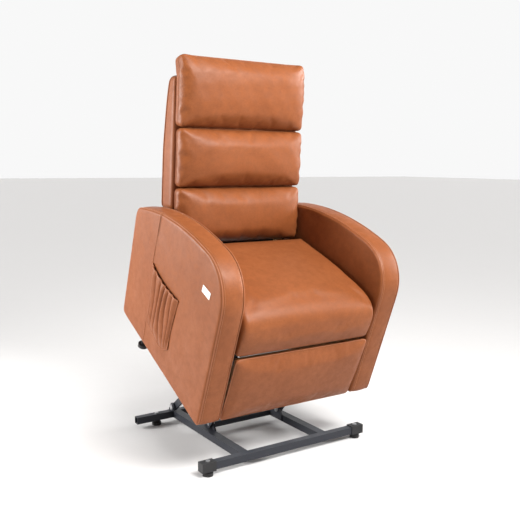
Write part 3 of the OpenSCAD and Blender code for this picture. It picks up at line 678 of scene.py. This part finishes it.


# Black cloth that closes the gap between the seat and the footrest: a dark sheet put there as painted shade
# for the gap
GAP_PATH = [(0.0745, 0.192), (0.0750, 0.229), (0.0745, 0.266)]
dust_cloth("seat_gap_shade_cloth", "seat_unit", SEAT, GAP_PATH, 0.408, 33, 0.0012)


def footrest_pad():
    low, high = local_box("footrest_pad", SEAT)
    foot, top = low[2], high[2]
    path = [(0.006, foot), (0.003, foot + 0.06), (0.003, top - 0.06), (0.006, top)]
    pad = Cushion("footrest_cover", path, 2 * high[0] - 0.002, high[1] - 0.0055, 0.009, 0.009, 0.009, 0.008,
                  SEAT, corner=0.016)
    wave = ripple(pad.verts[:, 0], pad.verts[:, 2], 51, 9, 0.07) * np.clip(pad.face, 0, 1)
    pad.verts[:, 1] += 0.0006 * wave
    pad.build(MATERIALS["leather"])
    seam = set(pad.ring())
    hold = [1.0 if f < 0.40 else (0.7 if i in seam else 0.0) for i, f in enumerate(pad.face)]
    inflate(pad, 3.0, 0.006, 0.006, hold)
    loop = world_points(pad.obj, pad.ring())
    refine(pad.obj)
    settle(pad.obj, "footrest", "leather", "footrest_pad")
    tube("footrest_seam", loop, 0.0018, "footrest")


footrest_pad()


# ---- Arms ----
SEAM_IN = 0.006
ARM_STEP = 0.0055


def arm_outline():
    """The arm's side outline in (v, u), read from the CAD arm, evenly spaced and anticlockwise."""
    co = local_points("arm_outer_panel_left", SEAT)
    edge = np.unique(np.round(co[co[:, 0] > HALF_W - 1e-4][:, 1:], 6), axis=0)
    centre = edge.mean(0)
    order = np.argsort(np.arctan2(*(edge - centre).T[::-1]))
    edge = edge[order]
    closed = np.vstack([edge, edge[:1]])
    run = np.concatenate([[0], np.cumsum(np.linalg.norm(np.diff(closed, axis=0), axis=1))])
    want = np.linspace(0, run[-1], int(run[-1] / ARM_STEP), endpoint=False)
    even = np.column_stack([np.interp(want, run, closed[:, i]) for i in range(2)])
    for _ in range(14):
        even = (np.roll(even, 1, 0) + 2 * even + np.roll(even, -1, 0)) / 4
    return even


OUTLINE = arm_outline()
AHEAD = np.roll(OUTLINE, -1, 0) - np.roll(OUTLINE, 1, 0)
OUT = np.column_stack([AHEAD[:, 1], -AHEAD[:, 0]]) / np.linalg.norm(AHEAD, axis=1, keepdims=True)
ARM_MID = OUTLINE.mean(0)


def arm_panel(name, node, wall_x, facing, seed, crown):
    """A padded side panel. wall_x is its flat face's place, facing is +1 or -1 along X."""
    seam_x = wall_x - facing * SEAM_IN
    rim = [(0.008, -0.005), (0.0012, 0.0), (0.0014, 0.0020), (0.0028, 0.0040), (0.0055, 0.0054),
           (0.009, 0.0060)]
    rings = [(OUTLINE - inset * OUT, seam_x + facing * rise) for inset, rise in rim]
    last = rings[-1][0]
    for share in np.linspace(0.975, 0.02, 34):
        rings.append((ARM_MID + (last - ARM_MID) * share, wall_x + facing * crown * (1 - share ** 2)))
    n = len(OUTLINE)
    verts = []
    for number, (ring, x) in enumerate(rings):
        calm = min(1, max(0, number - 3) / 3)
        wave = np.minimum(0, 0.0013 * calm * ripple(ring[:, 0], ring[:, 1], seed, 9, 0.10) - 0.0002 * calm)
        verts += [(x + facing * w, v, u) for (v, u), w in zip(ring, wave)]
    verts.append((wall_x + facing * crown, *ARM_MID))
    verts.append((seam_x - facing * 0.006, *ARM_MID))
    faces = []
    for r in range(len(rings) - 1):
        for i in range(n):
            j = (i + 1) % n
            faces.append((r * n + i, r * n + j, (r + 1) * n + j, (r + 1) * n + i))
    top = (len(rings) - 1) * n
    faces += [(top + i, top + (i + 1) % n, len(verts) - 2) for i in range(n)]
    faces += [((i + 1) % n, i, len(verts) - 1) for i in range(n)]
    obj = outward(make_object(name, verts, faces, SEAT, MATERIALS["leather"]))
    return settle(obj, "seat_unit", "leather", node)


def arm_band(name, node, side, seed):
    """The band round the arm's edge, sewn between its two side panels."""
    near, far = HALF_IN + SEAM_IN, HALF_W - SEAM_IN
    shares = (0.0, 0.025, 0.07, 0.14, 0.24, 0.36, 0.5, 0.64, 0.76, 0.86, 0.93, 0.975, 1.0)
    half_rise = (-0.0022, -0.0004, 0.0012, 0.0022, 0.0030, 0.0034)
    rises = half_rise + (0.0036,) + half_rise[::-1]
    n = len(OUTLINE)
    verts = []
    run = np.arange(n) * ARM_STEP
    for share, rise in zip(shares, rises):
        x = near + (far - near) * share
        calm = math.sin(math.pi * share) ** 0.5
        wave = 0.0006 * calm * ripple(run, np.full(n, x), seed, 10, 0.05)
        ring = OUTLINE + OUT * (rise + wave)[:, None]
        verts += [(side * x, v, u) for v, u in ring]
    for share in (0.985, 0.015):
        verts += [(side * (near + (far - near) * share), v, u) for v, u in OUTLINE - 0.011 * OUT]
    rows = len(shares) + 2
    faces = []
    for r in range(rows):
        q = (r + 1) % rows
        for i in range(n):
            j = (i + 1) % n
            faces.append((r * n + i, r * n + j, q * n + j, q * n + i))
    obj = outward(make_object(name, verts, faces, SEAT, MATERIALS["leather"]))
    refine(obj)
    return settle(obj, "seat_unit", "leather", node)


def to_world(points, matrix=SEAT):
    m = np.array(matrix)
    return np.array(points) @ m[:3, :3].T + m[:3, 3]


def ways_to_world(ways):
    return np.array(ways) @ np.array(SEAT)[:3, :3].T


def arm_edge(x, inset=0.0):
    return to_world([(x, v, u) for v, u in OUTLINE - inset * OUT])


def arm(side, label):
    arm_panel(f"arm_outer_{label}", f"arm_outer_panel_{label}", side * HALF_W, side, 61 + side, 0.0)
    arm_panel(f"arm_inner_{label}", f"arm_inner_panel_{label}", side * HALF_IN, -side, 71 + side, 0.0)
    arm_band(f"arm_band_cover_{label}", f"arm_band_{label}", side, 81 + side)
    out_ways = ways_to_world([(0, v, u) for v, u in OUT])
    for place, x, step in (("outer", HALF_W - SEAM_IN, -0.0065), ("inner", HALF_IN + SEAM_IN, 0.0065)):
        tube(f"arm_piping_{place}_{label}", arm_edge(side * x), 0.0020, "seat_unit")
        row = to_world([(side * (x + step), v, u) for v, u in OUTLINE + 0.0016 * OUT])
        stitches(f"arm_stitches_{place}_{label}", row, out_ways, "seat_unit")


arm(1, "left")
arm(-1, "right")


# ---- The near arm's panel seam and the gathered pocket ----
def on_outer(points, lift):
    """Points (v, u) on the pocket side's outer face, lifted off it."""
    return to_world([(-HALF_W - lift, v, u) for v, u in points])


def panel_seam():
    outwards = tuple(ways_to_world([(-1, 0, 0)])[0])
    for number, line in enumerate((((0.4885, 0.4890), (0.4860, 0.458), (0.4810, 0.389), (0.4760, 0.300)),
                                   ((0.440, 0.085), (0.434, 0.040), (0.4325, 0.008)))):
        run, _ = smooth_path(line, 40)
        tube(f"panel_seam_{number}", on_outer(run, 0.0001), 0.0011, "seat_unit", closed=False)
        row = on_outer(run - (0.0045, 0), 0.0)
        stitches(f"panel_stitches_{number}", row, outwards, "seat_unit", closed=False)


panel_seam()
POCKET_TOP = ((0.4700, 0.3050), (0.4380, 0.2960), (0.3680, 0.2880), (0.2640, 0.2910))
POCKET_FOOT = ((0.4340, 0.0960), (0.3700, 0.0810), (0.3050, 0.0735), (0.2640, 0.1000))
POCKET_FOLDS = 6.5


def pocket():
    """A gathered sheet, held open at its elastic hem and sewn down on its other three sides."""
    nx, nz = 150, 60
    hem, _ = smooth_path(POCKET_TOP, nx + 1)
    foot, _ = smooth_path(POCKET_FOOT, nx + 1)
    verts = []
    for layer in (0, 1):
        for i in range(nx + 1):
            a = i / nx
            for k in range(nz + 1):
                b = k / nz
                v, u = hem[i] + (foot[i] - hem[i]) * b
                lean = 0.010 * math.sin(math.pi * b) * (a - 0.5)
                edge = min(1, min(a, 1 - a) / 0.09) ** 0.7
                down = min(1, (1 - b) / 0.16) ** 0.8
                drift = a + 0.026 * math.sin(5 * b + 9 * a) + 0.045 * b * math.sin(7 * a)
                phase = math.tau * POCKET_FOLDS * drift
                fold = abs(math.cos(phase / 2)) ** 0.55
                below_hem = 0.50 + 0.50 * min(1, b / 0.10)
                depth = (0.0108 + 0.0034 * math.sin(11 * a + 2)) * (1 - 0.45 * b) * below_hem
                bulge = 0.0046 + 0.0022 * math.sin(math.pi * min(1, b * 1.15)) * math.sin(math.pi * a)
                off = 0.0007 + edge * down * (bulge + (fold - 0.5) * depth) - 0.0011 * layer
                verts.append((-HALF_W - max(off, 0.0003 if layer else 0.0014), v + lean, u))
    sheet = outward(make_object("pocket_cloth", verts, sheet_faces(nx, nz), SEAT, MATERIALS["leather"]))
    settle(sheet, "seat_unit", "leather", "side_pocket")
    line = to_world([verts[i * (nz + 1)] for i in range(nx + 1)])
    hem_roll = tube("pocket_hem", line, 0.0026, "seat_unit", closed=False, step=0.0015)
    edge = [verts[k] for k in range(nz + 1)] + [verts[i * (nz + 1) + nz] for i in range(1, nx + 1)]
    edge += [verts[nx * (nz + 1) + k] for k in range(nz - 1, -1, -1)]
    piping = tube("pocket_edge", to_world(edge), 0.0012, "seat_unit", closed=False)


pocket()


# ---- Stage, light and camera ----
FLOOR_HALF = 40
SUNS = (("top_front", (0.05, -0.50, 0.86), 30, 1.7, (1.0, 0.985, 0.965)),
        ("left", (-1.00, 0.40, 0.30), 25, 2.1, (1.0, 0.97, 0.96)),
        ("right", (1.00, -0.22, 0.30), 25, 3.2, (1.0, 0.97, 0.96)))
LAMPS = (("head_lamp", (0.35, -1.70, 2.15), 78, 1.1, (0.0, -0.05, 1.05)),
         ("rear_lamp", (-1.60, 1.05, 1.05), 34, 0.8, (-0.35, 0.15, 0.75)))


def aim(obj, target=(0.0, 0.0, 0.0)):
    obj.rotation_euler = (Vector(target) - obj.location).to_track_quat("-Z", "Y").to_euler()


def add_light(name, kind, place, energy, colour, target=(0.0, 0.0, 0.0)):
    light = bpy.data.lights.new(name, kind)
    light.energy, light.color = energy, colour
    obj = bpy.data.objects.new(name, light)
    obj.location = place
    aim(obj, target)
    SCENE.collection.objects.link(obj)
    return light


def studio_world():
    """Bright behind the chair near the horizon, dimmer overhead and in front, so that the lamps shape it."""
    world = bpy.data.worlds.new("studio")
    SCENE.world = world
    world.use_nodes = True
    nodes, links = world.node_tree.nodes, world.node_tree.links
    way = nodes.new("ShaderNodeTexCoord")
    parts = nodes.new("ShaderNodeSeparateXYZ")
    ramp = nodes.new("ShaderNodeMapRange")
    for key, value in (("From Min", 0.36), ("From Max", 0.60), ("To Min", 0.94), ("To Max", 0.24)):
        ramp.inputs[key].default_value = value
    links.new(way.outputs["Generated"], parts.inputs[0])
    links.new(parts.outputs["Z"], ramp.inputs["Value"])
    side = nodes.new("ShaderNodeMapRange")
    for key, value in (("From Min", -0.55), ("From Max", 0.25), ("To Min", 0.22), ("To Max", 1.0)):
        side.inputs[key].default_value = value
    links.new(parts.outputs["Y"], side.inputs["Value"])
    both = nodes.new("ShaderNodeMath")
    both.operation = "MULTIPLY"
    links.new(ramp.outputs[0], both.inputs[0])
    links.new(side.outputs[0], both.inputs[1])
    links.new(both.outputs[0], nodes["Background"].inputs["Strength"])
    nodes["Background"].inputs["Color"].default_value = (1.0, 1.0, 1.0, 1)


def stage_and_light():
    h = FLOOR_HALF
    pale = moulded("pale_floor", (0.60, 0.60, 0.60, 1), (0.61, 0.61, 0.61, 1), 0.85, 0.9, 3)
    floor = make_object("studio_floor", [(-h, -h, 0), (h, -h, 0), (h, h, 0), (-h, h, 0)], [(0, 1, 2, 3)],
                        Matrix.Identity(4), pale, smooth=False)
    studio_world()
    for name, place, spread, power, colour in SUNS:
        add_light(name, "SUN", place, power, colour).angle = math.radians(spread)
    for name, place, power, size, target in LAMPS:
        lamp = add_light(name, "AREA", place, power, (1.0, 0.98, 0.96), target)
        lamp.shape, lamp.size = "DISK", size


stage_and_light()

CAMERA_AT = Vector((-1.3953, PLAN_Y - 1.9307, 0.9811))
CAMERA_TURN, CAMERA_DIP, CAMERA_ROLL = 34.08, 5.98, 0.46
SENSOR_WIDTH, LENS = 36, 50.78
CAMERA_SHIFT = (-0.0152, -0.0390)


def camera():
    data = bpy.data.cameras.new("camera")
    data.sensor_width, data.lens = SENSOR_WIDTH, LENS
    data.shift_x, data.shift_y = CAMERA_SHIFT
    obj = bpy.data.objects.new("camera", data)
    turn = Matrix.Rotation(math.radians(-CAMERA_TURN), 4, "Z")
    dip = Matrix.Rotation(math.radians(90 - CAMERA_DIP), 4, "X")
    roll = Matrix.Rotation(math.radians(CAMERA_ROLL), 4, "Z")
    obj.matrix_world = Matrix.Translation(CAMERA_AT) @ turn @ dip @ roll
    SCENE.collection.objects.link(obj)
    SCENE.camera = obj


camera()
SCENE.view_settings.view_transform = "Standard"
